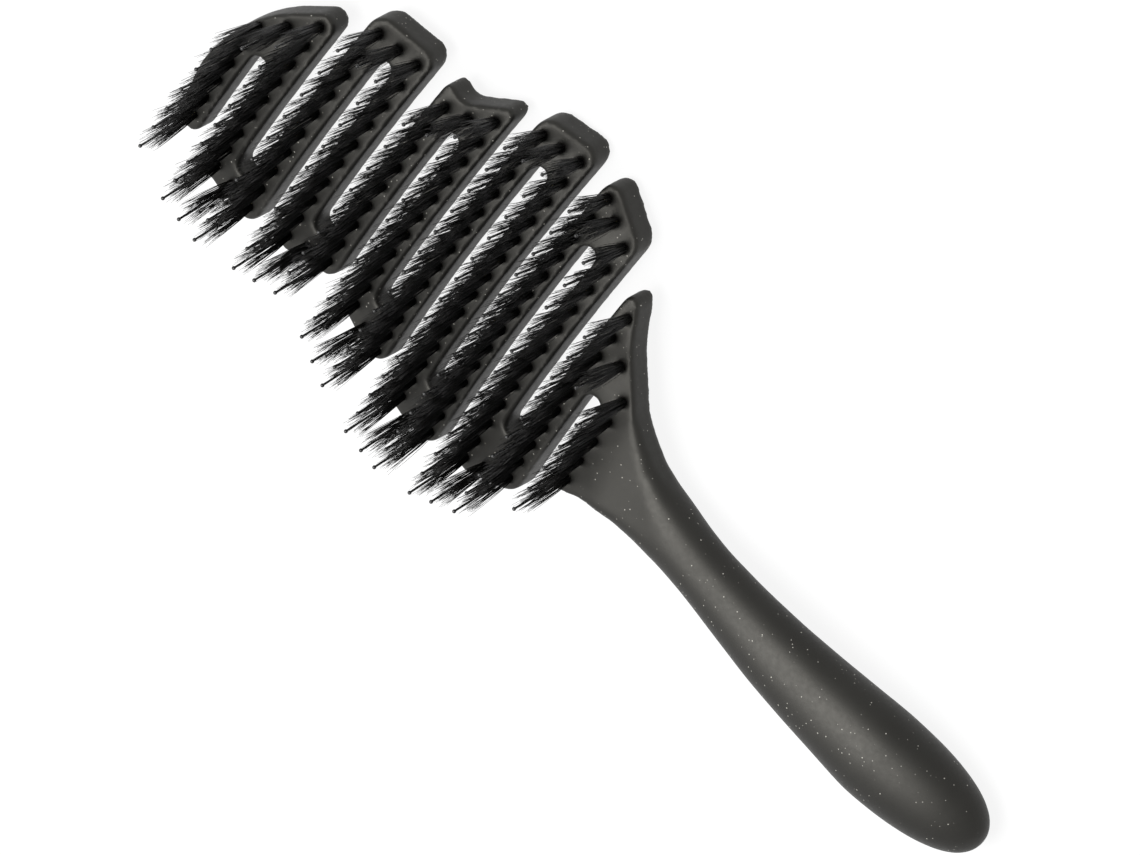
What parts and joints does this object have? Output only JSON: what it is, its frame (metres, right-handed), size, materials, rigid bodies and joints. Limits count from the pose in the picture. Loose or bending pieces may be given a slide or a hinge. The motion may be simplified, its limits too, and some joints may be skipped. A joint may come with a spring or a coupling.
{
  "type": "detangling brush",
  "caption": "Vented detangling hair brush with a serpentine flexible head, mixed bristle tufts and ball-tipped pins, and a slim rounded handle.",
  "frame": {"origin": "middle of the neck, on the handle's axis", "axes": "+X from the free tip of the head to the heel of the handle, +Y along the bars of the head to its higher lobes, +Z the way the bristles stand"},
  "size_m": [0.2395, 0.0875, 0.0324],
  "materials": {
    "frame_plastic": "satin, faintly speckled",
    "bristles": "natural bristle",
    "pins": "gloss",
    "anchor_metal": "bright flat wire"
  },
  "bodies": {
    "root": {"frame": "frame_plastic", "bristle_tufts_row_01": "bristles", "bristle_tufts_row_02": "bristles", "bristle_tufts_row_03": "bristles", "bristle_tufts_row_04": "bristles", "bristle_tufts_row_05": "bristles", "bristle_tufts_row_06": "bristles", "bristle_tufts_row_07": "bristles", "bristle_tufts_row_08": "bristles", "bristle_tufts_row_09": "bristles", "bristle_tufts_row_10": "bristles", "bristle_tufts_row_11": "bristles", "bristle_tufts_row_12": "bristles", "ball_pins_row_01": "pins", "ball_pins_row_02": "pins", "ball_pins_row_03": "pins", "ball_pins_row_04": "pins", "ball_pins_row_05": "pins", "ball_pins_row_06": "pins", "ball_pins_row_07": "pins", "ball_pins_row_08": "pins", "ball_pins_row_09": "pins", "ball_pins_row_10": "pins", "ball_pins_row_11": "pins", "ball_pins_row_12": "pins", "tuft_anchors_row_01": "anchor_metal", "tuft_anchors_row_02": "anchor_metal", "tuft_anchors_row_03": "anchor_metal", "tuft_anchors_row_04": "anchor_metal", "tuft_anchors_row_05": "anchor_metal", "tuft_anchors_row_06": "anchor_metal", "tuft_anchors_row_07": "anchor_metal", "tuft_anchors_row_08": "anchor_metal", "tuft_anchors_row_09": "anchor_metal", "tuft_anchors_row_10": "anchor_metal", "tuft_anchors_row_11": "anchor_metal", "tuft_anchors_row_12": "anchor_metal"}
  },
  "joints": []
}
